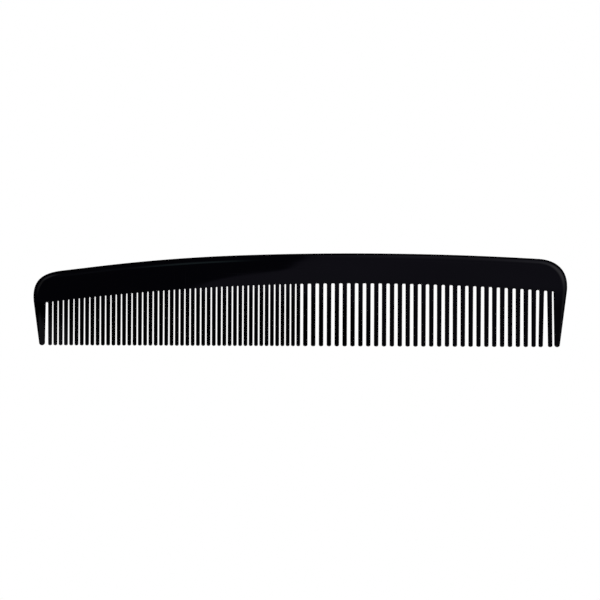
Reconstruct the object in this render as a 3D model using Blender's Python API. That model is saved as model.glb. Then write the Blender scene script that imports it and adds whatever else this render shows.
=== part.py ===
"""Dressing comb: one black plastic moulding, 7 inches long, with fine teeth on one half and
coarse teeth on the other.

The comb lies flat. X runs along its length from the fine end to the coarse end, Y from the tips
of the teeth to the back, Z through its thickness. The origin is the middle of its underside's
bounding box. Every node is a named region of the same moulding, and neighbours keep a joint gap.
"""
import math

import bmesh
import bpy
from mathutils import Vector

MM = 0.001

# Overall size
LENGTH = 178.0 * MM
HEIGHT = 31.1 * MM
SPINE_THICKNESS = 4.4 * MM
JOINT_GAP = 0.3 * MM

# Back of the spine: a straight run at the fine end, then two long arcs that meet tangentially
BACK_CREST_X = 21.0 * MM
BACK_RADIUS_COARSE = 1065.0 * MM
BACK_RADIUS_FINE = 565.0 * MM
BACK_RADIUS_CHANGE_X = -20.0 * MM
BACK_STRAIGHT_X = -68.0 * MM
BACK_ROUND_DEPTH = 2.6 * MM
BACK_ROUND_STEPS = 8
BACK_STEPS = 22

# Root line, where the gaps between the teeth end: one arc
ROOT_ARC_X = 20.6 * MM
ROOT_ARC_CREST_Y = 21.1 * MM
ROOT_ARC_RADIUS = 829.7 * MM
ROOT_STEPS = 12

# Ends: an outer edge that leans inward towards the tip, and a full corner below the back
FINE_END_FOOT_X = 87.15 * MM
FINE_END_LEAN = 0.134
FINE_CORNER_REACH = 9.2 * MM
FINE_CORNER_PULLS = (0.77, 0.65)
COARSE_END_FOOT_X = 86.7 * MM
COARSE_END_LEAN = 0.128
COARSE_CORNER_REACH = 9.4 * MM
COARSE_CORNER_PULLS = (0.72, 0.54)
CORNER_STEPS = 12

# End guards
FINE_GUARD_INNER_X = -85.12 * MM
COARSE_GUARD_INNER_X = 84.68 * MM
GUARD_TIP_ROUND = 0.6 * MM
GUARD_TIP_INSET = 0.35 * MM
GUARD_TIP_NOSE = 0.7 * MM
GUARD_NOSE_LIMIT = 0.8
GUARD_INNER_DRAFT = 0.015

# Fine teeth
FINE_COUNT = 48
FINE_PITCH = 1.765 * MM
FINE_FIRST_X = -83.6 * MM
FINE_ROOT_WIDTH = 1.29 * MM
FINE_TIP_WIDTH = 1.26 * MM
FINE_WEB_HEIGHT = 0.9 * MM
WEB_STEP_FINE_X = -85.0 * MM
WEB_STEP_COARSE_X = 0.6 * MM

# Coarse teeth; the last two are bent apart by use, and this is how far their tips have moved
COARSE_COUNT = 32
COARSE_PITCH = 2.632 * MM
COARSE_FIRST_X = 1.7 * MM
COARSE_ROOT_WIDTH = 1.50 * MM
COARSE_TIP_WIDTH = 1.48 * MM
BENT_TIPS = {31: -0.27 * MM, 32: 0.27 * MM}

# Tooth thickness and rounding
TIP_THICKNESS = 1.4 * MM
TIP_ROUND = 0.45 * MM
TIP_CORNER_INSET = 0.27 * MM
TIP_END_FRACTION = 0.45
TOOTH_EDGE_ROUND = 0.2 * MM
SQUARE_ROOT_LENGTH = 1.5 * MM
EDGE_ROUND_SEGMENTS = 2

# Plastic
BLACK = (0.006, 0.006, 0.008, 1.0)
ROUGHNESS = 0.22


def clear_scene():
    for item in list(bpy.data.objects):
        bpy.data.objects.remove(item, do_unlink=True)


def moulded_plastic(name):
    """Glossy black plastic."""
    material = bpy.data.materials.new(name)
    material.use_nodes = True
    material.diffuse_color = BLACK
    shader = material.node_tree.nodes["Principled BSDF"]
    shader.inputs["Base Color"].default_value = BLACK
    shader.inputs["Roughness"].default_value = ROUGHNESS
    shader.inputs["Metallic"].default_value = 0.0
    return material


def node_from_bmesh(name, bm):
    """Make an object of a mesh drawn from the tip line and the mid-plane, and set it on the floor."""
    bmesh.ops.recalc_face_normals(bm, faces=bm.faces)
    mesh = bpy.data.meshes.new(name)
    bm.to_mesh(mesh)
    bm.free()
    mesh.shade_smooth()
    mesh.set_sharp_from_angle(angle=math.radians(35.0))
    mesh.materials.append(moulded_plastic(name + "_plastic"))
    node = bpy.data.objects.new(name, mesh)
    node.location = (0.0, -HEIGHT / 2, SPINE_THICKNESS / 2)
    bpy.context.collection.objects.link(node)
    return node


def back_y(x):
    """Height of the back above the tip line."""
    offset = x - BACK_CREST_X
    if x >= BACK_RADIUS_CHANGE_X:
        return HEIGHT - offset * offset / (2 * BACK_RADIUS_COARSE)
    change = BACK_RADIUS_CHANGE_X - BACK_CREST_X
    change_y = HEIGHT - change * change / (2 * BACK_RADIUS_COARSE)
    slope = -change / BACK_RADIUS_COARSE
    arc_x = max(x, BACK_STRAIGHT_X)
    run = arc_x - BACK_RADIUS_CHANGE_X
    arc_y = change_y + slope * run - run * run / (2 * BACK_RADIUS_FINE)
    arc_slope = slope - run / BACK_RADIUS_FINE
    return arc_y + arc_slope * (x - arc_x)


def root_y(x):
    """Height of the root line above the tip line."""
    drop = ROOT_ARC_RADIUS - math.sqrt(ROOT_ARC_RADIUS ** 2 - (x - ROOT_ARC_X) ** 2)
    return ROOT_ARC_CREST_Y - drop


def end_x(side, y):
    """Outer edge of an end: side is -1 at the fine end and 1 at the coarse end."""
    if side < 0:
        return -(FINE_END_FOOT_X + FINE_END_LEAN * y)
    return COARSE_END_FOOT_X + COARSE_END_LEAN * y


def corner_curve(side):
    """Corner of one end, from the root line up to the back, as a cubic curve."""
    reach = FINE_CORNER_REACH if side < 0 else COARSE_CORNER_REACH
    edge_pull, back_pull = FINE_CORNER_PULLS if side < 0 else COARSE_CORNER_PULLS
    start_y = root_y(side * LENGTH / 2)
    start = Vector((end_x(side, start_y), start_y))
    back_x = side * (LENGTH / 2 - reach)
    stop = Vector((back_x, back_y(back_x)))
    slope = (back_y(back_x) - back_y(back_x - side * MM)) / (side * MM)
    corner_x = side * (LENGTH / 2 + MM)
    corner = Vector((corner_x, back_y(back_x) + slope * (corner_x - back_x)))
    edge_handle = start.lerp(corner, edge_pull)
    back_handle = stop.lerp(corner, back_pull)
    points = []
    for step in range(CORNER_STEPS + 1):
        t = step / CORNER_STEPS
        low = start.lerp(edge_handle, t)
        middle = edge_handle.lerp(back_handle, t)
        high = back_handle.lerp(stop, t)
        points.append(low.lerp(middle, t).lerp(middle.lerp(high, t), t))
    return points


def outer_path():
    """Outer edge of the spine, from the fine end's root line over the back to the coarse end's."""
    left = corner_curve(-1)
    right = corner_curve(1)
    start_x = left[-1].x
    stop_x = right[-1].x
    path = list(left)
    for step in range(1, BACK_STEPS):
        x = start_x + (stop_x - start_x) * step / BACK_STEPS
        path.append(Vector((x, back_y(x))))
    path.extend(reversed(right))
    return path


def inward_directions(path):
    """Unit direction into the spine at each point; the two ends slide along the root line."""
    directions = [Vector((1.0, 0.0))]
    for before, after in zip(path, path[2:]):
        along = (after - before).normalized()
        directions.append(Vector((along.y, -along.x)))
    directions.append(Vector((-1.0, 0.0)))
    return directions


def lower_path():
    """Lower edge of the spine, from the coarse end to the fine end.

    It follows the root line, and steps up over the webs of the fine teeth.
    """
    path = []
    for step in range(ROOT_STEPS + 1):
        x = COARSE_GUARD_INNER_X + (WEB_STEP_COARSE_X - COARSE_GUARD_INNER_X) * step / ROOT_STEPS
        path.append(Vector((x, root_y(x))))
    for step in range(ROOT_STEPS + 1):
        x = WEB_STEP_COARSE_X + (WEB_STEP_FINE_X - WEB_STEP_COARSE_X) * step / ROOT_STEPS
        path.append(Vector((x, root_y(x) + FINE_WEB_HEIGHT + JOINT_GAP)))
    path.append(Vector((WEB_STEP_FINE_X, root_y(WEB_STEP_FINE_X))))
    return path


def make_spine():
    """Bar between the root line and the back, with a rounded back and two flat faces."""
    path = outer_path()
    inward = inward_directions(path)
    lower_edge = lower_path()
    bm = bmesh.new()
    loops = []
    for step in range(BACK_ROUND_STEPS + 1):
        angle = math.pi * (step / BACK_ROUND_STEPS - 0.5)
        z = SPINE_THICKNESS / 2 * math.sin(angle)
        inset = BACK_ROUND_DEPTH * (1.0 - math.cos(angle))
        outline = [point + direction * inset for point, direction in zip(path, inward)]
        outline[0].y = root_y(outline[0].x)
        outline[-1].y = root_y(outline[-1].x)
        outline.extend(lower_edge)
        loops.append([bm.verts.new((point.x, point.y, z)) for point in outline])
    for lower, upper in zip(loops, loops[1:]):
        for index in range(len(lower)):
            after = (index + 1) % len(lower)
            bm.faces.new((lower[index], lower[after], upper[after], upper[index]))
    bm.faces.new(loops[0])
    bm.faces.new(loops[-1])
    return node_from_bmesh("spine", bm)


def half_thickness(x, y):
    """Half the thickness of the toothed part: a taper from the root line down to the tips."""
    tip = TIP_THICKNESS / 2
    root = SPINE_THICKNESS / 2
    if y < TIP_ROUND:
        return tip * (TIP_END_FRACTION + (1.0 - TIP_END_FRACTION) * y / TIP_ROUND)
    return tip + (root - tip) * min(1.0, (y - TIP_ROUND) / (root_y(x) - TIP_ROUND))


def plate(name, cells, edge_round):
    """Solid over plan cells, each a ring of (x, y) corners, with its edges rounded below the root."""
    bm = bmesh.new()
    corners = {}

    def vertex(x, y, face):
        key = (round(x, 7), round(y, 7), face)
        if key not in corners:
            corners[key] = bm.verts.new((x, y, face * half_thickness(x, y)))
        return corners[key]

    edge_uses = {}
    for cell in cells:
        bm.faces.new([vertex(x, y, 1) for x, y in cell])
        bm.faces.new([vertex(x, y, -1) for x, y in reversed(cell)])
        for start, stop in zip(cell, cell[1:] + cell[:1]):
            key = frozenset((round(value[0], 7), round(value[1], 7)) for value in (start, stop))
            edge_uses.setdefault(key, []).append((start, stop))
    top = max(y for cell in cells for _, y in cell)
    weight = bm.edges.layers.float.new("bevel_weight_edge")
    for uses in edge_uses.values():
        if len(uses) > 1:
            continue
        start, stop = uses[0]
        bm.faces.new((vertex(*start, 1), vertex(*start, -1), vertex(*stop, -1), vertex(*stop, 1)))
        if min(start[1], stop[1]) < top - SQUARE_ROOT_LENGTH:
            for face in (1, -1):
                edge = bm.edges.get((vertex(*start, face), vertex(*stop, face)))
                edge[weight] = 1.0
    node = node_from_bmesh(name, bm)
    bevel = node.modifiers.new("rounded_edges", "BEVEL")
    bevel.width = edge_round
    bevel.segments = EDGE_ROUND_SEGMENTS
    bevel.limit_method = "WEIGHT"
    return node


def tooth_cells(x, tip_width, root_width, top, bend=0.0):
    """Plan cells of one tooth: its rounded tip, moved aside by bend, and its body up to top."""
    tip_x = x + bend
    tip = tip_width / 2
    end = tip - TIP_CORNER_INSET
    root = root_width / 2
    low_left = (tip_x - tip, TIP_ROUND)
    low_right = (tip_x + tip, TIP_ROUND)
    return [
        [(tip_x - end, 0.0), (tip_x + end, 0.0), low_right, low_left],
        [low_left, low_right, (x + root, top), (x - root, top)],
    ]


def make_coarse_tooth(index):
    """One coarse tooth, which ends a joint gap below the root line."""
    number = index + 1
    x = COARSE_FIRST_X + index * COARSE_PITCH
    top = root_y(x) - JOINT_GAP
    bend = BENT_TIPS.get(number, 0.0)
    cells = tooth_cells(x, COARSE_TIP_WIDTH, COARSE_ROOT_WIDTH, top, bend)
    return plate(f"coarse_tooth_{number:02d}", cells, TOOTH_EDGE_ROUND)


def make_fine_tooth_pair(index):
    """Two fine teeth and the strip of moulding that joins them at the root line."""
    first_x = FINE_FIRST_X + 2 * index * FINE_PITCH
    second_x = first_x + FINE_PITCH
    web = root_y((first_x + second_x) / 2)
    top = web + FINE_WEB_HEIGHT
    cells = []
    for x in (first_x, second_x):
        cells.extend(tooth_cells(x, FINE_TIP_WIDTH, FINE_ROOT_WIDTH, web))
    edge = FINE_ROOT_WIDTH / 2
    reach = (FINE_PITCH - JOINT_GAP) / 2
    stations = [first_x - reach, first_x - edge, first_x + edge]
    stations += [second_x - edge, second_x + edge, second_x + reach]
    for left, right in zip(stations, stations[1:]):
        cells.append([(left, web), (right, web), (right, top), (left, top)])
    return plate(f"fine_tooth_pair_{index + 1:02d}", cells, TOOTH_EDGE_ROUND)


def make_end_guard(name, side, inner_x):
    """Broad outer tooth: flat on its inner side, rounded and leaning inward on its outer side."""
    top = min(root_y(inner_x), root_y(side * LENGTH / 2)) - JOINT_GAP
    bm = bmesh.new()
    rings = []
    for y, inset in ((0.0, GUARD_TIP_INSET), (GUARD_TIP_ROUND, 0.0), (top, 0.0)):
        half = half_thickness(inner_x, y)
        inner = inner_x + side * (inset + GUARD_INNER_DRAFT * (top - y))
        outer = end_x(side, y) - side * inset
        share = y / top
        depth = (1.0 - share) * GUARD_TIP_NOSE + share * BACK_ROUND_DEPTH
        depth = min(depth, abs(outer - inner) * GUARD_NOSE_LIMIT)
        outline = [(inner, -half)]
        for step in range(BACK_ROUND_STEPS + 1):
            angle = math.pi * (step / BACK_ROUND_STEPS - 0.5)
            outline.append((outer - side * depth * (1.0 - math.cos(angle)), half * math.sin(angle)))
        outline.append((inner, half))
        rings.append([bm.verts.new((x, y, z)) for x, z in outline])
    for lower, upper in zip(rings, rings[1:]):
        for index in range(len(lower)):
            after = (index + 1) % len(lower)
            bm.faces.new((lower[index], lower[after], upper[after], upper[index]))
    bm.faces.new(rings[0])
    bm.faces.new(rings[-1])
    return node_from_bmesh(name, bm)


def main():
    clear_scene()
    make_spine()
    make_end_guard("fine_end_guard", -1, FINE_GUARD_INNER_X)
    make_end_guard("coarse_end_guard", 1, COARSE_GUARD_INNER_X)
    for index in range(FINE_COUNT // 2):
        make_fine_tooth_pair(index)
    for index in range(COARSE_COUNT):
        make_coarse_tooth(index)


main()
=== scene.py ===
"""Looks of the dressing comb: its finished moulding, black plastic, white floor, light tent and camera.

The comb lies flat: X runs along it from the fine end to the coarse end, Y from the tips of the teeth
to the back and Z through its thickness. Each CAD node is replaced by a finished piece of the same
moulding. Pieces are worked out with y from the tip line and z from the mid-plane, in metres.
"""
import math

import bmesh
import bpy
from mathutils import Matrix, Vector


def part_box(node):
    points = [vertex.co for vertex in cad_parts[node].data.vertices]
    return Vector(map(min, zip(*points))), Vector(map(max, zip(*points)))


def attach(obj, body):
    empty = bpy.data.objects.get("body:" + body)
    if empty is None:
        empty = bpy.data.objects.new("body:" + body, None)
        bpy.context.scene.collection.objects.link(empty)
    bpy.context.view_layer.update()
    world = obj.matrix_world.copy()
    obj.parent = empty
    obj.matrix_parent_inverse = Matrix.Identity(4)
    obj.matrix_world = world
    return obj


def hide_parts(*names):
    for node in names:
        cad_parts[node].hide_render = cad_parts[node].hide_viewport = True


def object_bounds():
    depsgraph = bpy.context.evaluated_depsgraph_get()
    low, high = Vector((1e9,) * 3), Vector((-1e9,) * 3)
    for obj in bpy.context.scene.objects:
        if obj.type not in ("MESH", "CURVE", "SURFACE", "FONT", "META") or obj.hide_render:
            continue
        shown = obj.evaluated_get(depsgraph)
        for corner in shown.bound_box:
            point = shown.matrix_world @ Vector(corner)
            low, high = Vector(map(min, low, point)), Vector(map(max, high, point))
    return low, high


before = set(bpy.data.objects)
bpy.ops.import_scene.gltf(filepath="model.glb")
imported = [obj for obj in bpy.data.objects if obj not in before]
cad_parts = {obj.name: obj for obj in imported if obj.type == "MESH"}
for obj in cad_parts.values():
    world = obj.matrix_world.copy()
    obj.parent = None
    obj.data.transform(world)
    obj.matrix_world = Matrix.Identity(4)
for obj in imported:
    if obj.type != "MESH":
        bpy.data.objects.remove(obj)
cad_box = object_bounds()

MM = 0.001
CAD_LOW, CAD_HIGH = cad_box
MIDDLE = (CAD_LOW + CAD_HIGH) / 2
HEIGHT = CAD_HIGH.y - CAD_LOW.y
THICKNESS = CAD_HIGH.z - CAD_LOW.z
HALF_LENGTH = 89.0 * MM
JOINT_GAP = 0.3 * MM

# Back of the spine: a straight run at the fine end, then two long arcs that meet tangentially
BACK_CREST_X = 21.0 * MM
BACK_RADIUS_COARSE = 1065.0 * MM
BACK_RADIUS_FINE = 565.0 * MM
BACK_RADIUS_CHANGE_X = -20.0 * MM
BACK_STRAIGHT_X = -68.0 * MM

# Root line, where the gaps between the teeth end: one arc
ROOT_ARC_X = 20.6 * MM
ROOT_ARC_CREST_Y = 21.1 * MM
ROOT_ARC_RADIUS = 829.7 * MM

# Ends: an outer edge that leans inward towards the tip, and a full corner below the back
END_FOOT_X = {-1: 87.15 * MM, 1: 86.7 * MM}
END_LEAN = {-1: 0.134, 1: 0.128}
CORNER_REACH = {-1: 9.2 * MM, 1: 9.4 * MM}
CORNER_PULLS = {-1: (0.77, 0.65), 1: (0.72, 0.54)}
JOINT_LEAN_SHARE = 0.85
GUARD_INNER_X = {-1: -85.12 * MM, 1: 84.68 * MM}
GUARD_INNER_DRAFT = 0.015
GUARD_TIP_LENGTH = 0.85 * MM

# Teeth: their places come from the frame, and these are their shapes
FINE_WIDTH = 1.29 * MM
FINE_NARROWING = 0.015 * MM
COARSE_WIDTH = 1.50 * MM
COARSE_NARROWING = 0.01 * MM
BENT_TIPS = {"coarse_tooth_31": -0.27 * MM, "coarse_tooth_32": 0.27 * MM}
TOOTH_TIP_LENGTH = 0.5 * MM
FILLET_LIMIT = 0.36 * MM
FILLET_SHARE = 0.7

# Rounding of the rim: how far it reaches over the face, and how far down the wall
EDGE_ROUND = 0.3 * MM
NOSE_DEPTH = 2.6 * MM
GUARD_TIP_NOSE = 0.75 * MM
TIP_NOSE = 0.48 * MM
PARTING_HALF_WIDTH = 0.06 * MM
PARTING_HEIGHT = 0.02 * MM
PARTING_LAND = 0.09 * MM

# Thickness: flat spine with a slight crown, tapering from the shoulder to the tips
TIP_THICKNESS = 1.4 * MM
TIP_END_SHARE = 0.72
SHOULDER = 1.0 * MM
SHOULDER_BLEND = 0.1 * MM
CROWN = 0.05 * MM
CROWN_SLOPE = 0.2
SPINE_DEPTH = 10.0 * MM

# Plastic: colours, roughness, and heights in millimetres
PIGMENT = (0.0016, 0.0015, 0.0024, 1.0)
WORN_PIGMENT = (0.006, 0.006, 0.007, 1.0)
POLISH_ROUGHNESS = 0.045
HAZE_ROUGHNESS = 0.04
GRAIN_ROUGHNESS = 0.015
SCRATCH_ROUGHNESS = 0.12
WEAR_ROUGHNESS = 0.16
ORANGE_PEEL = 0.0003
GRAIN_HEIGHT = 0.00004
SCRATCH_DEPTH = 0.0002
REFRACTIVE_INDEX = 1.5

# Plastic: noises as (features for each metre, octaves), ramps as (noise where it starts, where it is full)
HAZE_NOISE = (55.0, 4.0)
HAZE_RAMP = (0.45, 0.75)
GRAIN_NOISE = (2400.0, 2.0)
PEEL_NOISE = (260.0, 2.0)
WEAR_NOISE = (420.0, 5.0)
WEAR_RAMP = (0.35, 0.7)
RIM_FALLOFF = 3.0

# Scratches: features for each metre along the three axes, turn in radians, and shift of the noise
SCRATCHES_ALONG = ((60.0, 2600.0, 2600.0), 0.05, (0.0, 0.0, 0.0))
SCRATCHES_ACROSS = ((3000.0, 90.0, 3000.0), -0.12, (3.0, 1.0, 2.0))
SCRATCH_RAMP = (0.66, 0.72)
SCRATCHED_PLACES = (90.0, 1.0)
SCRATCHED_RAMP = (0.48, 0.62)

# Light tent: a dome round the comb, and the lights on it, in metres from the middle of the comb
TENT_RADIUS = 0.25
TENT_SEGMENTS = 96
TENT_RINGS = 48
TENT_WINDOW = 0.06
TENT_EDGE = 0.0025
TENT_DARK = (0.020, 0.019, 0.034, 1.0)

# Large panel: its left edge as (y, x) points and its front edge as (x, y) points, inside TENT_WINDOW
TENT_LEFT_EDGE = (
    (-0.060, -0.048),
    (-0.012, -0.037),
    (0.001, -0.024),
    (0.009, -0.006),
    (0.020, -0.002),
    (0.060, -0.002),
)
TENT_FRONT_EDGE = (
    (-0.060, -0.032),
    (0.014, -0.032),
    (0.026, -0.040),
    (0.032, -0.051),
    (0.038, -0.060),
    (0.060, -0.060),
)
DARK_FRONT = (-0.036, -0.030)
DIM_FRONT = (-0.012, -0.028)
DIM_LEVEL = 0.55
CLOUD_NOISE = (14.0, 2.0)
CLOUD_RAMP = (0.3, 0.7)
CLOUD_LIGHT = (0.85, 1.1)
PANEL_LIGHT = (0.089, 0.083, 0.113, 1.0)

# Bands: stops along x, stops along y and light. Discs: centre, core radius, reach and light.
TENT_BANDS = (
    ((-0.078, -0.050, -0.040, -0.018), (0.066, 0.094, 0.125, 0.175), (0.115, 0.18, 0.185, 1.0)),
    ((-0.130, -0.090, -0.050, -0.010), (0.070, 0.110, 0.150, 0.190), (0.03, 0.035, 0.04, 1.0)),
    ((-0.010, 0.060, 0.150, 0.200), (0.150, 0.220, 0.250, 0.300), (0.085, 0.085, 0.10, 1.0)),
    ((-0.180, -0.080, 0.120, 0.200), (-0.300, -0.250, -0.215, -0.180), (0.5, 0.5, 0.53, 1.0)),
    ((-0.220, -0.150, 0.150, 0.220), (-0.240, -0.190, -0.135, -0.088), (0.12, 0.12, 0.135, 1.0)),
    ((-0.250, -0.220, -0.090, -0.082), (-0.120, -0.085, -0.054, -0.048), (0.15, 0.15, 0.17, 1.0)),
)
TENT_DISCS = (
    ((0.205, 0.090, 0.112), 0.03, 0.115, (0.46, 0.45, 0.47, 1.0)),
    ((0.235, 0.000, 0.080), 0.02, 0.100, (0.14, 0.14, 0.14, 1.0)),
    ((-0.212, 0.066, 0.115), 0.02, 0.085, (0.15, 0.15, 0.14, 1.0)),
    ((-0.165, 0.155, 0.100), 0.02, 0.078, (0.24, 0.24, 0.26, 1.0)),
    ((0.145, 0.168, 0.118), 0.025, 0.088, (0.24, 0.24, 0.26, 1.0)),
)

# Mesh density
TIP_ROWS = 5
SIDE_ROWS = 6
FILLET_ROWS = 4
TOOTH_RIM_STEPS = 4
SPINE_RIM_STEPS = 10
SPINE_ROWS = 16
CORNER_MARGIN = 1.5 * MM
SLOPE_STEP = 0.02 * MM
BACK_STEP = 0.5 * MM

# Floor, and the camera square on above the comb
FLOOR_SIZE = 4.0
FLOOR_DROP = 0.1 * MM
FLOOR_GREY = (0.05, 0.05, 0.05, 1.0)
WHITE = (1.0, 1.0, 1.0, 1.0)
VIEW_WIDTH = 200.3 * MM
LENS = 300.0
SENSOR_WIDTH = 36.0
AIM_SHIFT = (-0.11 * MM, -0.10 * MM)
CAMERA_TURN = math.radians(0.212)
CLIP = (0.05, 20.0)


# Outline ------------------------------------------------------------------------------------

def back_y(x):
    """Height of the back above the tip line."""
    offset = x - BACK_CREST_X
    if x >= BACK_RADIUS_CHANGE_X:
        return HEIGHT - offset * offset / (2 * BACK_RADIUS_COARSE)
    change = BACK_RADIUS_CHANGE_X - BACK_CREST_X
    change_y = HEIGHT - change * change / (2 * BACK_RADIUS_COARSE)
    slope = -change / BACK_RADIUS_COARSE
    arc_x = max(x, BACK_STRAIGHT_X)
    run = arc_x - BACK_RADIUS_CHANGE_X
    arc_y = change_y + slope * run - run * run / (2 * BACK_RADIUS_FINE)
    arc_slope = slope - run / BACK_RADIUS_FINE
    return arc_y + arc_slope * (x - arc_x)


def root_y(x):
    """Height of the root line above the tip line."""
    drop = ROOT_ARC_RADIUS - math.sqrt(ROOT_ARC_RADIUS ** 2 - (x - ROOT_ARC_X) ** 2)
    return ROOT_ARC_CREST_Y - drop


def end_x(side, y):
    """Outer edge of an end: side is -1 at the fine end and 1 at the coarse end."""
    return side * (END_FOOT_X[side] + END_LEAN[side] * y)


def joint_out(side):
    """Direction out of an end where the guard meets the spine."""
    return (side, -JOINT_LEAN_SHARE * END_LEAN[side])


def half_thickness(x, y):
    """Half the thickness at a plan point: crowned spine, smooth shoulder, tapered teeth, round tips."""
    root = root_y(x)
    middle = root + SPINE_DEPTH / 2
    away = (y - middle) / (SPINE_DEPTH / 2)
    spine = THICKNESS / 2 - CROWN * min(away * away, 1.0 + abs(away) * CROWN_SLOPE)
    tip = TIP_THICKNESS / 2
    slope = (THICKNESS / 2 - tip) / (root + SHOULDER)
    taper = tip + slope * y
    gap = spine - taper
    blended = (spine + taper - math.sqrt(gap * gap + 4 * SHOULDER_BLEND * SHOULDER_BLEND)) / 2
    if y < TOOTH_TIP_LENGTH:
        share = 1.0 - max(y, 0.0) / TOOTH_TIP_LENGTH
        blended *= TIP_END_SHARE + (1.0 - TIP_END_SHARE) * math.sqrt(1.0 - share * share)
    return blended


def face_normal(x, y):
    """Unit normal of the front face at a plan point."""
    width = 2 * SLOPE_STEP
    along_x = (half_thickness(x + SLOPE_STEP, y) - half_thickness(x - SLOPE_STEP, y)) / width
    along_y = (half_thickness(x, y + SLOPE_STEP) - half_thickness(x, y - SLOPE_STEP)) / width
    return Vector((-along_x, -along_y, 1.0)).normalized()


# Mesh building ------------------------------------------------------------------------------

class RimPoint:
    """A point of the silhouette: its place, the direction out of the plastic and its rounding.

    The rounding starts on the flat face at inner, or at depth straight in from the silhouette.
    """

    def __init__(self, x, y, out, depth=EDGE_ROUND, nose=0.0, inner=None):
        self.place = Vector((x, y))
        self.out = Vector(out).normalized()
        self.inner = Vector(inner) if inner else self.place - self.out * depth
        self.depth = (self.place - self.inner).dot(self.out)
        self.nose = nose


class Moulding:
    """A closed mesh with its exact surface normals, built on the mid-plane and mirrored through it."""

    def __init__(self, name, rim_steps):
        self.name = name
        self.rim_steps = rim_steps
        self.places = []
        self.normals = []
        self.rims = []
        self.faces = []
        self.hidden = []

    def vertex(self, place, normal, rim):
        self.places.append(Vector(place))
        self.normals.append(Vector(normal).normalized())
        self.rims.append(rim)
        return len(self.places) - 1

    def face_pair(self, x, y):
        """Front and back vertices over a plan point."""
        half = half_thickness(x, y)
        normal = face_normal(x, y)
        front = self.vertex((x, y, half), normal, 0.0)
        back = self.vertex((x, y, -half), (normal.x, normal.y, -normal.z), 0.0)
        return front, back

    def ring(self, point):
        """Vertices round the rim at a silhouette point, from the front face to the back face."""
        x, y = point.inner
        half = half_thickness(x, y)
        face = face_normal(x, y)
        round_height = min(EDGE_ROUND, half - PARTING_LAND)
        round_height += (half - PARTING_LAND - round_height) * point.nose
        out = Vector((point.out.x, point.out.y, 0.0))
        front = []
        for step in range(self.rim_steps, -1, -1):
            angle = math.pi / 2 * step / self.rim_steps
            cos, sin = math.cos(angle), math.sin(angle)
            plan = point.inner.lerp(point.place, cos)
            z = half - round_height + round_height * sin
            normal = out * (cos / point.depth) + face * (sin / round_height)
            front.append(((plan.x, plan.y, z), normal, cos))
        ridge = point.place + point.out * PARTING_HEIGHT
        edge = Vector((out.x, out.y, 0.2))
        middle = [
            ((point.place.x, point.place.y, PARTING_HALF_WIDTH), edge, 1.0),
            ((ridge.x, ridge.y, 0.0), out, 1.0),
            ((point.place.x, point.place.y, -PARTING_HALF_WIDTH), (edge.x, edge.y, -edge.z), 1.0),
        ]
        back = []
        for place, normal, rim in reversed(front):
            back.append(((place[0], place[1], -place[2]), (normal.x, normal.y, -normal.z), rim))
        return [self.vertex(*values) for values in front + middle + back]

    def face(self, *corners, hidden=False):
        self.faces.append(corners)
        self.hidden.append(hidden)

    def strip(self, first, second, hidden=False):
        """Quads between two rows of vertices."""
        for index in range(len(first) - 1):
            self.face(first[index], first[index + 1], second[index + 1], second[index], hidden=hidden)

    def finish(self, *nodes):
        """Turn it into an object that stands for the CAD nodes."""
        mesh = bpy.data.meshes.new(self.name)
        shift = Vector((0.0, CAD_LOW.y, MIDDLE.z))
        mesh.from_pydata([place + shift for place in self.places], [], self.faces)
        rim = mesh.attributes.new("rim", "FLOAT", "POINT")
        rim.data.foreach_set("value", self.rims)
        hidden = mesh.attributes.new("hidden_joint", "BOOLEAN", "FACE")
        hidden.data.foreach_set("value", self.hidden)
        bm = bmesh.new()
        bm.from_mesh(mesh)
        bmesh.ops.recalc_face_normals(bm, faces=bm.faces)
        bm.to_mesh(mesh)
        bm.free()
        mesh.shade_smooth()
        hidden = mesh.attributes["hidden_joint"].data
        corners = []
        for polygon in mesh.polygons:
            joint = hidden[polygon.index].value
            for index in polygon.vertices:
                corners.append(polygon.normal.copy() if joint else self.normals[index])
        mesh.normals_split_custom_set(corners)
        piece = bpy.data.objects.new(self.name, mesh)
        bpy.context.collection.objects.link(piece)
        mesh.materials.append(PLASTIC)
        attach(piece, "root")
        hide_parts(*nodes)
        return piece


# Materials ----------------------------------------------------------------------------------

def link_value(tree, value, socket):
    """Feed a socket from another socket, or set it to a plain number."""
    if isinstance(value, bpy.types.NodeSocket):
        tree.links.new(value, socket)
    else:
        socket.default_value = value


def math_node(tree, operation, first, second=0.0, third=None):
    """Result of a Math node. third is what MULTIPLY_ADD adds."""
    node = tree.nodes.new("ShaderNodeMath")
    node.operation = operation
    link_value(tree, first, node.inputs[0])
    link_value(tree, second, node.inputs[1])
    if third is not None:
        link_value(tree, third, node.inputs[2])
    return node.outputs["Value"]


def ramp(tree, value, low, high, to_low=0.0, to_high=1.0):
    """Smooth step of a value from one range to another."""
    node = tree.nodes.new("ShaderNodeMapRange")
    node.interpolation_type = "SMOOTHSTEP"
    link_value(tree, value, node.inputs["Value"])
    node.inputs["From Min"].default_value = low
    node.inputs["From Max"].default_value = high
    node.inputs["To Min"].default_value = to_low
    node.inputs["To Max"].default_value = to_high
    return node.outputs["Result"]


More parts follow.
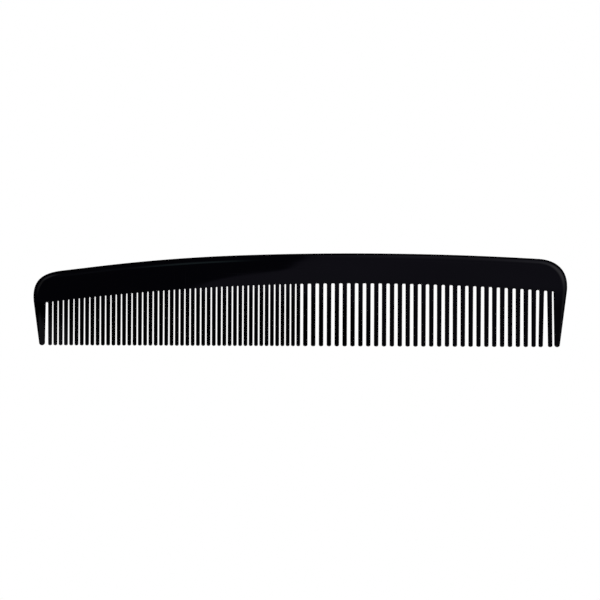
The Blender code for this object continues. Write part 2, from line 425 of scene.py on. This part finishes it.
def noise(tree, coordinates, scale, detail, stretch=(1.0, 1.0, 1.0), turn=0.0, offset=(0.0, 0.0, 0.0)):
    """Noise from 0 to 1. scale is in features for each metre, along the axes that stretch leaves at 1."""
    mapping = tree.nodes.new("ShaderNodeMapping")
    mapping.inputs["Location"].default_value = offset
    mapping.inputs["Rotation"].default_value = (0.0, 0.0, turn)
    mapping.inputs["Scale"].default_value = stretch
    texture = tree.nodes.new("ShaderNodeTexNoise")
    texture.inputs["Scale"].default_value = scale
    texture.inputs["Detail"].default_value = detail
    tree.links.new(coordinates, mapping.inputs["Vector"])
    tree.links.new(mapping.outputs["Vector"], texture.inputs["Vector"])
    return texture.outputs["Fac"]


def hairlines(tree, coordinates, stretch, turn, offset):
    """Sparse fine scratches: 1 on a scratch and 0 elsewhere."""
    lines = ramp(tree, noise(tree, coordinates, 1.0, 1.0, stretch, turn, offset), *SCRATCH_RAMP)
    places = ramp(tree, noise(tree, coordinates, *SCRATCHED_PLACES, offset=offset), *SCRATCHED_RAMP)
    return math_node(tree, "MULTIPLY", lines, places)


def black_plastic():
    """Polished black moulding: a deep gloss, handling haze, hairline scratches and duller, worn edges."""
    material = bpy.data.materials.new("black_plastic")
    material.use_nodes = True
    tree = material.node_tree
    shader = tree.nodes["Principled BSDF"]
    shader.inputs["IOR"].default_value = REFRACTIVE_INDEX
    place = tree.nodes.new("ShaderNodeTexCoord").outputs["Object"]
    edge = tree.nodes.new("ShaderNodeAttribute")
    edge.attribute_name = "rim"

    haze = ramp(tree, noise(tree, place, *HAZE_NOISE), *HAZE_RAMP)
    grain = noise(tree, place, *GRAIN_NOISE)
    along = hairlines(tree, place, *SCRATCHES_ALONG)
    across = hairlines(tree, place, *SCRATCHES_ACROSS)
    scratches = math_node(tree, "MAXIMUM", along, across)
    rubbed = math_node(tree, "POWER", edge.outputs["Fac"], RIM_FALLOFF)
    patchy = ramp(tree, noise(tree, place, *WEAR_NOISE), *WEAR_RAMP)
    wear = math_node(tree, "MULTIPLY", rubbed, patchy)

    roughness = math_node(tree, "MULTIPLY_ADD", haze, HAZE_ROUGHNESS, POLISH_ROUGHNESS)
    for share, amount in ((grain, GRAIN_ROUGHNESS), (scratches, SCRATCH_ROUGHNESS), (wear, WEAR_ROUGHNESS)):
        roughness = math_node(tree, "MULTIPLY_ADD", share, amount, roughness)
    tree.links.new(roughness, shader.inputs["Roughness"])

    colour = tree.nodes.new("ShaderNodeMix")
    colour.data_type = "RGBA"
    colour.inputs["A"].default_value = PIGMENT
    colour.inputs["B"].default_value = WORN_PIGMENT
    tree.links.new(math_node(tree, "MAXIMUM", wear, scratches), colour.inputs["Factor"])
    tree.links.new(colour.outputs["Result"], shader.inputs["Base Color"])

    sunk = math_node(tree, "MULTIPLY", scratches, -SCRATCH_DEPTH)
    height = math_node(tree, "MULTIPLY_ADD", noise(tree, place, *PEEL_NOISE), ORANGE_PEEL, sunk)
    surface = math_node(tree, "MULTIPLY_ADD", grain, GRAIN_HEIGHT, height)
    bump = tree.nodes.new("ShaderNodeBump")
    bump.inputs["Strength"].default_value = 1.0
    bump.inputs["Distance"].default_value = MM
    tree.links.new(surface, bump.inputs["Height"])
    tree.links.new(bump.outputs["Normal"], shader.inputs["Normal"])
    return material


PLASTIC = black_plastic()


# Teeth --------------------------------------------------------------------------------------

class Tooth:
    """A tooth or a guard in plan: where its two sides start at the tip, and how far they lean outward.

    guard_side is -1 or 1 for the guard at that end, and 0 for a tooth.
    """

    def __init__(self, left_tip, right_tip, left_lean, right_lean, tip_length, guard_side=0):
        self.tip_x = {-1: left_tip, 1: right_tip}
        self.lean = {-1: left_lean, 1: right_lean}
        self.tip_length = tip_length
        self.guard_side = guard_side

    def edge_x(self, side, y):
        """X of one side at a height."""
        return self.tip_x[side] + self.lean[side] * (y - self.tip_length)


def teeth_from_frame():
    """Every tooth from the fine end to the coarse end, guards included, and the node of each."""
    teeth = []
    owners = []

    def add(centre, width, narrowing, node, bend=0.0):
        length = root_y(centre) - TOOTH_TIP_LENGTH
        tip = width / 2 - narrowing
        low = centre + bend
        left_lean = -(narrowing + bend) / length
        right_lean = (narrowing - bend) / length
        teeth.append(Tooth(low - tip, low + tip, left_lean, right_lean, TOOTH_TIP_LENGTH))
        owners.append(node)

    def add_guard(side, node):
        low_y = GUARD_TIP_LENGTH
        outer = end_x(side, low_y)
        inner = GUARD_INNER_X[side] + side * GUARD_INNER_DRAFT * (root_y(GUARD_INNER_X[side]) - low_y)
        lean = {side: side * END_LEAN[side], -side: -side * GUARD_INNER_DRAFT}
        tips = {side: outer, -side: inner}
        teeth.append(Tooth(tips[-1], tips[1], lean[-1], lean[1], low_y, side))
        owners.append(node)

    add_guard(-1, "fine_end_guard")
    for node in sorted(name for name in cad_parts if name.startswith("fine_tooth_pair")):
        low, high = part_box(node)
        pitch = (high.x - low.x + JOINT_GAP) / 2
        for step in (0.5, 1.5):
            centre = low.x - JOINT_GAP / 2 + step * pitch
            add(centre, FINE_WIDTH, FINE_NARROWING, node)
    for node in sorted(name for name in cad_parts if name.startswith("coarse_tooth")):
        low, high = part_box(node)
        bend = BENT_TIPS.get(node, 0.0)
        centre = low.x + COARSE_WIDTH / 2 if bend >= 0.0 else high.x - COARSE_WIDTH / 2
        add(centre, COARSE_WIDTH, COARSE_NARROWING, node, bend)
    add_guard(1, "coarse_end_guard")
    return teeth, owners


class Gap:
    """The slot between two teeth: where its rounded top lies."""

    def __init__(self, left, right):
        guess = (left.tip_x[1] + right.tip_x[-1]) / 2
        self.top = root_y(guess)
        self.left_x = left.edge_x(1, self.top)
        self.right_x = right.edge_x(-1, self.top)
        self.middle = (self.left_x + self.right_x) / 2
        half = (self.right_x - self.left_x) / 2
        self.fillet = min(FILLET_LIMIT, half * FILLET_SHARE)
        self.joint = self.top + EDGE_ROUND


def guard_rim(side, x, y, share, out):
    """Rim point of a guard's outer edge. The rounding widens up to the spine's as share goes to 1."""
    depth = GUARD_TIP_NOSE + (NOSE_DEPTH - GUARD_TIP_NOSE) * share
    return RimPoint(x, y, out, nose=1.0, inner=(x - side * depth, y))


def side_path(tooth, side, gap):
    """Silhouette of one side of a tooth, from its tip up to the middle of the gap's top."""
    outer_guard = tooth.guard_side == side
    centre = (tooth.tip_x[-1] + tooth.tip_x[1]) / 2
    half = (tooth.tip_x[1] - tooth.tip_x[-1]) / 2
    tip_nose = GUARD_TIP_NOSE if tooth.guard_side else TIP_NOSE
    side_depth = GUARD_TIP_NOSE if outer_guard else EDGE_ROUND
    points = []
    for row in range(TIP_ROWS):
        angle = math.pi / 2 * row / TIP_ROWS
        sin, cos = math.sin(angle), math.cos(angle)
        x = centre + side * half * sin
        y = tooth.tip_length * (1.0 - cos)
        nose = 1.0 if outer_guard else cos * cos
        inner_x = centre + side * (half - side_depth) * sin
        inner_y = tip_nose + (tooth.tip_length - tip_nose) * (1.0 - cos)
        out = (side * sin / half, -cos / tooth.tip_length)
        points.append(RimPoint(x, y, out, nose=nose, inner=(inner_x, inner_y)))
    stop = gap.top - gap.fillet
    lean = side * tooth.lean[side]
    for row in range(SIDE_ROWS):
        y = tooth.tip_length + (stop - tooth.tip_length) * row / SIDE_ROWS
        x = tooth.edge_x(side, y)
        if outer_guard:
            points.append(guard_rim(side, x, y, y / gap.joint, (side, -lean)))
        else:
            points.append(RimPoint(x, y, (side, -lean)))
    if outer_guard:
        for row in range(FILLET_ROWS + 1):
            y = stop + (gap.joint - stop) * row / FILLET_ROWS
            out = joint_out(side) if row == FILLET_ROWS else (side, -lean)
            points.append(guard_rim(side, tooth.edge_x(side, y), y, y / gap.joint, out))
        return points
    turn_x = tooth.edge_x(side, stop) + side * gap.fillet
    for row in range(FILLET_ROWS + 1):
        angle = math.pi / 2 * row / FILLET_ROWS
        sin, cos = math.sin(angle), math.cos(angle)
        x = turn_x - side * gap.fillet * cos
        points.append(RimPoint(x, stop + gap.fillet * sin, (side * cos, -sin)))
    points.append(RimPoint(gap.middle, gap.top, (0.0, -1.0)))
    return points


def joint_line(teeth, gaps):
    """Plan points of the line where the spine meets the teeth, from the fine end to the coarse."""
    first = gaps[0].joint
    line = [Vector((end_x(-1, first) + NOSE_DEPTH, first))]
    for index, gap in enumerate(gaps):
        stop = gap.top - gap.fillet
        line.append(Vector((teeth[index].edge_x(1, stop) + gap.fillet, gap.joint)))
        line.append(Vector((gap.middle, gap.joint)))
        line.append(Vector((teeth[index + 1].edge_x(-1, stop) - gap.fillet, gap.joint)))
    last = gaps[-1].joint
    line.append(Vector((end_x(1, last) - NOSE_DEPTH, last)))
    return line


def make_teeth(name, members, node):
    """A run of neighbouring teeth as one closed piece, open to nothing but its hidden joints.

    members is a list of (tooth, left gap, right gap). A guard has None on its outer side.
    """
    steps = SPINE_RIM_STEPS if members[0][0].guard_side else TOOTH_RIM_STEPS
    moulding = Moulding(name, steps)
    top_front = []
    top_back = []
    previous_end = None
    for tooth, left_gap, right_gap in members:
        left = side_path(tooth, -1, left_gap or right_gap)
        right = side_path(tooth, 1, right_gap or left_gap)
        left_rings = [moulding.ring(point) for point in left]
        right_rings = [left_rings[0]] + [moulding.ring(point) for point in right[1:]]
        if previous_end is not None:
            left_rings[-1] = previous_end
        for rings in (left_rings, right_rings):
            for lower, upper in zip(rings, rings[1:]):
                moulding.strip(lower, upper)
        rows = TIP_ROWS + SIDE_ROWS + FILLET_ROWS
        for row in range(rows):
            for end in (0, -1):
                corners = [left_rings[row][end], right_rings[row][end]]
                corners += [right_rings[row + 1][end], left_rings[row + 1][end]]
                if row == 0:
                    corners = corners[1:]
                moulding.face(*corners)
        if previous_end is None:
            if tooth.guard_side != -1:
                moulding.face(*left_rings[-1], hidden=True)
                top_front.append(left_rings[-1][0])
                top_back.append(left_rings[-1][-1])
            else:
                moulding.face(*left_rings[rows], hidden=True)
        top_front += [left_rings[rows][0], right_rings[rows][0]]
        top_back += [left_rings[rows][-1], right_rings[rows][-1]]
        if tooth.guard_side == 1:
            moulding.face(*right_rings[rows], hidden=True)
        else:
            top_front.append(right_rings[-1][0])
            top_back.append(right_rings[-1][-1])
            if tooth is members[-1][0]:
                moulding.face(*right_rings[-1], hidden=True)
        previous_end = right_rings[-1]
    moulding.strip(top_front, top_back, hidden=True)
    return moulding.finish(node)


# Spine --------------------------------------------------------------------------------------

def corner_points(side, start_y):
    """Corner of one end as rim points, from the joint line up to the back."""
    start = Vector((end_x(side, start_y), start_y))
    back_x = side * (HALF_LENGTH - CORNER_REACH[side])
    stop = Vector((back_x, back_y(back_x)))
    slope = (back_y(back_x) - back_y(back_x - side * MM)) / (side * MM)
    corner_x = side * (HALF_LENGTH + MM)
    corner = Vector((corner_x, back_y(back_x) + slope * (corner_x - back_x)))
    edge_pull, back_pull = CORNER_PULLS[side]
    edge_handle = start.lerp(corner, edge_pull)
    back_handle = stop.lerp(corner, back_pull)
    points = []
    for row in range(SPINE_ROWS + 1):
        t = row / SPINE_ROWS
        low = start.lerp(edge_handle, t)
        middle = edge_handle.lerp(back_handle, t)
        high = back_handle.lerp(stop, t)
        before = low.lerp(middle, t)
        after = middle.lerp(high, t)
        place = before.lerp(after, t)
        along = (after - before).normalized()
        out = Vector((along.y, -along.x)) * side
        if row == 0:
            points.append(guard_rim(side, place.x, place.y, 1.0, joint_out(side)))
        else:
            points.append(RimPoint(place.x, place.y, out, NOSE_DEPTH, 1.0))
    return points


def back_point(x):
    """Rim point of the back at x."""
    slope = (back_y(x + BACK_STEP) - back_y(x - BACK_STEP)) / (2 * BACK_STEP)
    return RimPoint(x, back_y(x), (-slope, 1.0), NOSE_DEPTH, 1.0)


def make_spine(teeth, gaps):
    """Bar between the joint line and the back, with its two corners."""
    line = joint_line(teeth, gaps)
    left = corner_points(-1, gaps[0].joint)
    right = corner_points(1, gaps[-1].joint)
    left_limit = left[-1].place.x + CORNER_MARGIN
    right_limit = right[-1].place.x - CORNER_MARGIN
    left_count = next(i for i, point in enumerate(line) if point.x > left_limit)
    right_first = max(i for i, point in enumerate(line) if point.x < right_limit)
    count = len(line)
    top = []
    for index, point in enumerate(line):
        if index < left_count:
            x = left[-1].place.x + (line[left_count].x - left[-1].place.x) * index / left_count
        elif index > right_first:
            share = (index - right_first) / (count - 1 - right_first)
            x = line[right_first].x + (right[-1].place.x - line[right_first].x) * share
        else:
            x = point.x
        top.append(back_point(x))
    top[0] = left[-1]
    top[-1] = right[-1]

    moulding = Moulding("spine_moulding", SPINE_RIM_STEPS)
    left_rings = [moulding.ring(point) for point in left]
    right_rings = [moulding.ring(point) for point in right]
    top_rings = [left_rings[-1]]
    top_rings += [moulding.ring(point) for point in top[1:-1]]
    top_rings.append(right_rings[-1])
    grid = {}
    for column in range(count):
        bottom_place = line[column]
        top_place = top[column].inner
        for row in range(SPINE_ROWS + 1):
            share = row / SPINE_ROWS
            if column == 0:
                grid[column, row] = (left_rings[row][0], left_rings[row][-1])
                continue
            if column == count - 1:
                grid[column, row] = (right_rings[row][0], right_rings[row][-1])
                continue
            if row == SPINE_ROWS:
                grid[column, row] = (top_rings[column][0], top_rings[column][-1])
                continue
            place = bottom_place.lerp(top_place, share)
            if column < left_count:
                u = column / left_count
                near, far, pivot = left, left_count, 0
            elif column > right_first:
                u = (count - 1 - column) / (count - 1 - right_first)
                near, far, pivot = right, right_first, count - 1
            else:
                u = 1.0
                near, far, pivot = None, column, column
            if near is not None:
                far_place = line[far].lerp(top[far].inner, share)
                across = near[row].inner.lerp(far_place, u)
                corner_low = line[pivot].lerp(line[far], u)
                corner_high = top[pivot].inner.lerp(top[far].inner, u)
                place = across + place - corner_low.lerp(corner_high, share)
            grid[column, row] = moulding.face_pair(place.x, place.y)
    for column in range(count - 1):
        for row in range(SPINE_ROWS):
            for side in (0, 1):
                moulding.face(
                    grid[column, row][side],
                    grid[column + 1, row][side],
                    grid[column + 1, row + 1][side],
                    grid[column, row + 1][side],
                )
    for rings in (left_rings, top_rings, right_rings):
        for before, after in zip(rings, rings[1:]):
            moulding.strip(before, after)
    moulding.face(*left_rings[0], hidden=True)
    moulding.face(*right_rings[0], hidden=True)
    bottom_front = [grid[column, 0][0] for column in range(count)]
    bottom_back = [grid[column, 0][1] for column in range(count)]
    moulding.strip(bottom_front, bottom_back, hidden=True)
    return moulding.finish("spine")


def make_comb():
    teeth, owners = teeth_from_frame()
    gaps = [Gap(left, right) for left, right in zip(teeth, teeth[1:])]
    make_spine(teeth, gaps)
    start = 0
    while start < len(teeth):
        stop = start
        while stop + 1 < len(teeth) and owners[stop + 1] == owners[start]:
            stop += 1
        members = []
        for index in range(start, stop + 1):
            left_gap = gaps[index - 1] if index > 0 else None
            right_gap = gaps[index] if index < len(gaps) else None
            members.append((teeth[index], left_gap, right_gap))
        make_teeth(owners[start] + "_moulding", members, owners[start])
        start = stop + 1


# Stage --------------------------------------------------------------------------------------

def make_floor():
    """White to the camera, dark grey to the comb, so that it doesn't light the comb from below."""
    low = CAD_LOW.z - FLOOR_DROP
    corners = [(x * FLOOR_SIZE, y * FLOOR_SIZE, low) for x, y in ((-1, -1), (1, -1), (1, 1), (-1, 1))]
    mesh = bpy.data.meshes.new("floor")
    mesh.from_pydata(corners, [], [(0, 1, 2, 3)])
    floor = bpy.data.objects.new("floor", mesh)
    bpy.context.collection.objects.link(floor)
    material = bpy.data.materials.new("white_sweep")
    material.use_nodes = True
    tree = material.node_tree
    tree.nodes.clear()
    output = tree.nodes.new("ShaderNodeOutputMaterial")
    mix = tree.nodes.new("ShaderNodeMixShader")
    path = tree.nodes.new("ShaderNodeLightPath")
    seen = tree.nodes.new("ShaderNodeEmission")
    seen.inputs["Color"].default_value = WHITE
    seen.inputs["Strength"].default_value = 1.0
    other = tree.nodes.new("ShaderNodeBsdfDiffuse")
    other.inputs["Color"].default_value = FLOOR_GREY
    tree.links.new(path.outputs["Is Camera Ray"], mix.inputs["Fac"])
    tree.links.new(other.outputs["BSDF"], mix.inputs[1])
    tree.links.new(seen.outputs["Emission"], mix.inputs[2])
    tree.links.new(mix.outputs["Shader"], output.inputs["Surface"])
    mesh.materials.append(material)


def make_world():
    """White to the camera, nearly dark to the comb."""
    world = bpy.data.worlds.new("studio")
    bpy.context.scene.world = world
    world.use_nodes = True
    tree = world.node_tree
    tree.nodes.clear()
    output = tree.nodes.new("ShaderNodeOutputWorld")
    mix = tree.nodes.new("ShaderNodeMixShader")
    path = tree.nodes.new("ShaderNodeLightPath")
    seen = tree.nodes.new("ShaderNodeBackground")
    seen.inputs["Color"].default_value = WHITE
    room = tree.nodes.new("ShaderNodeBackground")
    room.inputs["Color"].default_value = TENT_DARK
    tree.links.new(path.outputs["Is Camera Ray"], mix.inputs["Fac"])
    tree.links.new(room.outputs["Background"], mix.inputs[1])
    tree.links.new(seen.outputs["Background"], mix.inputs[2])
    tree.links.new(mix.outputs["Shader"], output.inputs["Surface"])


def edge_curve(tree, value, points):
    """Curve through points inside the tent's middle window, for a value in metres."""
    share = tree.nodes.new("ShaderNodeMapRange")
    share.inputs["From Min"].default_value = -TENT_WINDOW
    share.inputs["From Max"].default_value = TENT_WINDOW
    tree.links.new(value, share.inputs["Value"])
    node = tree.nodes.new("ShaderNodeFloatCurve")
    curve = node.mapping.curves[0]
    width = 2 * TENT_WINDOW
    places = [((a + TENT_WINDOW) / width, (b + TENT_WINDOW) / width) for a, b in points]
    curve.points[0].location = places[0]
    curve.points[1].location = places[-1]
    for location in places[1:-1]:
        curve.points.new(*location)
    node.mapping.update()
    tree.links.new(share.outputs["Result"], node.inputs["Value"])
    return math_node(tree, "MULTIPLY_ADD", node.outputs["Value"], width, -TENT_WINDOW)


def soft_disc(tree, place, centre, core, reach):
    """Round light on the tent: 1 within core of its centre, 0 beyond reach."""
    distance = tree.nodes.new("ShaderNodeVectorMath")
    distance.operation = "DISTANCE"
    tree.links.new(place, distance.inputs[0])
    distance.inputs[1].default_value = centre
    return ramp(tree, distance.outputs["Value"], reach, core)


def soft_band(tree, x, y, x_stops, y_stops):
    """Long light on the tent: each list of stops gives where it starts, is full, starts to fade and ends."""
    shares = []
    for value, (start, full, fade, end) in ((x, x_stops), (y, y_stops)):
        rise = ramp(tree, value, start, full)
        fall = ramp(tree, value, end, fade)
        shares.append(math_node(tree, "MULTIPLY", rise, fall))
    return math_node(tree, "MULTIPLY", *shares)


def main_panel(tree, place, x, y):
    """Lit half of the tent, over the coarse end: its left and front edges are curves."""
    left = math_node(tree, "SUBTRACT", x, edge_curve(tree, y, TENT_LEFT_EDGE))
    front = math_node(tree, "SUBTRACT", y, edge_curve(tree, x, TENT_FRONT_EDGE))
    lit = math_node(tree, "MULTIPLY", ramp(tree, left, 0.0, TENT_EDGE), ramp(tree, front, 0.0, TENT_EDGE))
    cloudy = ramp(tree, noise(tree, place, *CLOUD_NOISE), *CLOUD_RAMP, *CLOUD_LIGHT)
    dimmed = ramp(tree, y, *DIM_FRONT, 1.0, DIM_LEVEL)
    return math_node(tree, "MULTIPLY", math_node(tree, "MULTIPLY", lit, cloudy), dimmed)


def make_light_tent():
    """Dome of dim cloth over the comb, with soft lights behind it. The camera looks through it."""
    bm = bmesh.new()
    bmesh.ops.create_uvsphere(bm, u_segments=TENT_SEGMENTS, v_segments=TENT_RINGS, radius=TENT_RADIUS)
    low = [vert for vert in bm.verts if vert.co.z < -FLOOR_DROP / 2]
    bmesh.ops.delete(bm, geom=low, context="VERTS")
    mesh = bpy.data.meshes.new("light_tent")
    bm.to_mesh(mesh)
    bm.free()
    tent = bpy.data.objects.new("light_tent", mesh)
    bpy.context.collection.objects.link(tent)
    tent.visible_camera = False
    tent.visible_shadow = False

    material = bpy.data.materials.new("tent_cloth")
    material.use_nodes = True
    mesh.materials.append(material)
    tree = material.node_tree
    tree.nodes.clear()
    place = tree.nodes.new("ShaderNodeTexCoord").outputs["Object"]
    axes = tree.nodes.new("ShaderNodeSeparateXYZ")
    tree.links.new(place, axes.inputs["Vector"])
    x = axes.outputs["X"]
    y = axes.outputs["Y"]
    lights = [(main_panel(tree, place, x, y), PANEL_LIGHT)]
    lights.append((ramp(tree, y, *DARK_FRONT), TENT_DARK))
    for x_stops, y_stops, light in TENT_BANDS:
        lights.append((soft_band(tree, x, y, x_stops, y_stops), light))
    for centre, core, reach, light in TENT_DISCS:
        lights.append((soft_disc(tree, place, centre, core, reach), light))
    total = None
    for share, colour in lights:
        emission = tree.nodes.new("ShaderNodeEmission")
        emission.inputs["Color"].default_value = colour
        tree.links.new(share, emission.inputs["Strength"])
        added = tree.nodes.new("ShaderNodeAddShader")
        if total is not None:
            tree.links.new(total, added.inputs[0])
        tree.links.new(emission.outputs["Emission"], added.inputs[1])
        total = added.outputs["Shader"]
    output = tree.nodes.new("ShaderNodeOutputMaterial")
    tree.links.new(total, output.inputs["Surface"])


def make_camera():
    """Long lens, square on to the broad face."""
    data = bpy.data.cameras.new("camera")
    data.lens = LENS
    data.sensor_width = SENSOR_WIDTH
    camera = bpy.data.objects.new("camera", data)
    bpy.context.collection.objects.link(camera)
    distance = VIEW_WIDTH * LENS / SENSOR_WIDTH
    aim = MIDDLE + Vector((*AIM_SHIFT, THICKNESS / 2))
    camera.location = aim + Vector((0.0, 0.0, distance))
    camera.rotation_euler = (0.0, 0.0, CAMERA_TURN)
    data.clip_start, data.clip_end = CLIP
    bpy.context.scene.camera = camera


make_comb()
make_floor()
make_world()
make_light_tent()
make_camera()
bpy.context.scene.view_settings.view_transform = "Standard"
